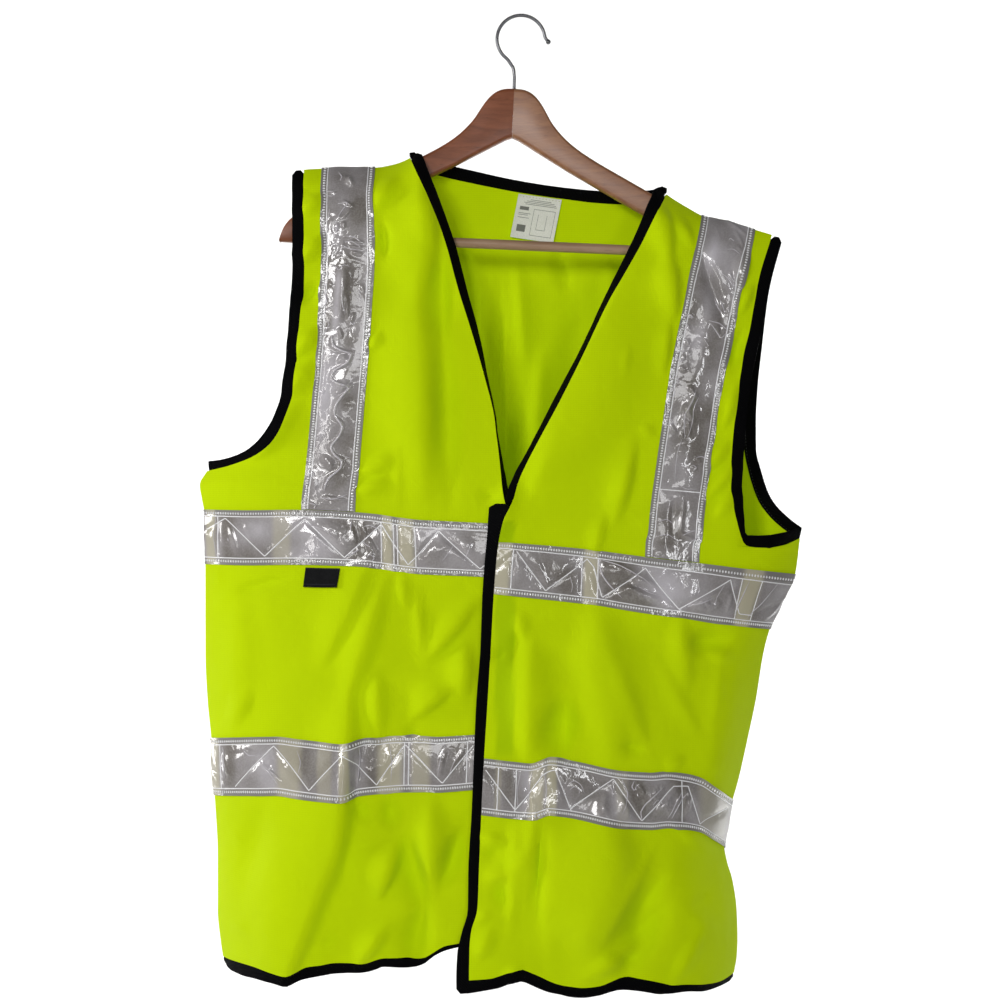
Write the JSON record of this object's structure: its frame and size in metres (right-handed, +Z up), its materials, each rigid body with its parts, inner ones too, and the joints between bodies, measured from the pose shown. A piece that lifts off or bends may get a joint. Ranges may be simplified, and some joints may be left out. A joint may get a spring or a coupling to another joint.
{
  "type": "high-visibility safety vest on a wooden hanger",
  "caption": "Sleeveless high-visibility work vest with a V neck, dark bound edges and glossy reflective bands, hanging open-armed on a wooden hanger with a crossbar and wire hook.",
  "frame": {"origin": "inside top of the hanger's hook, where it rests on its rail", "axes": "+Z up, fronts face -Y, +X to the right as seen from the front"},
  "size_m": [0.5693, 0.152, 0.9201],
  "materials": {
    "cloth": "fluorescent yellow-green polyester warp knit, matt with a faint sheen",
    "tape": "clear glossy PVC film over silver-grey prismatic backing, welded along both edges",
    "binding": "black woven bias tape, matt",
    "tab": "black woven tab, bare",
    "label": "off-white satin label, bare",
    "dark_wood": "red-brown stained wood, satin lacquer",
    "light_wood": "pinkish-brown wood, satin lacquer",
    "dowel": "plain pale dowel",
    "steel": "plated steel wire"
  },
  "bodies": {
    "root": {"front_left": "cloth", "front_right": "cloth", "back": "cloth", "chest_tape_front_left": "tape", "chest_tape_front_right": "tape", "waist_tape_front_left": "tape", "waist_tape_front_right": "tape", "shoulder_tape_front_left": "tape", "shoulder_tape_front_right": "tape", "chest_tape_back": "tape", "waist_tape_back": "tape", "shoulder_tape_back_left": "tape", "shoulder_tape_back_right": "tape", "armhole_binding_left": "binding", "armhole_binding_right": "binding", "opening_binding_left": "binding", "opening_binding_right": "binding", "edge_binding_right": "binding", "neck_binding_back": "binding", "hem_binding_front_left": "binding", "hem_binding_front_right": "binding", "hem_binding_back": "binding", "side_tab": "tab", "neck_label": "label", "hanger_arm_left": "dark_wood", "hanger_arm_right": "light_wood", "hanger_crossbar": "dowel", "hanger_hook": "steel"}
  },
  "joints": []
}
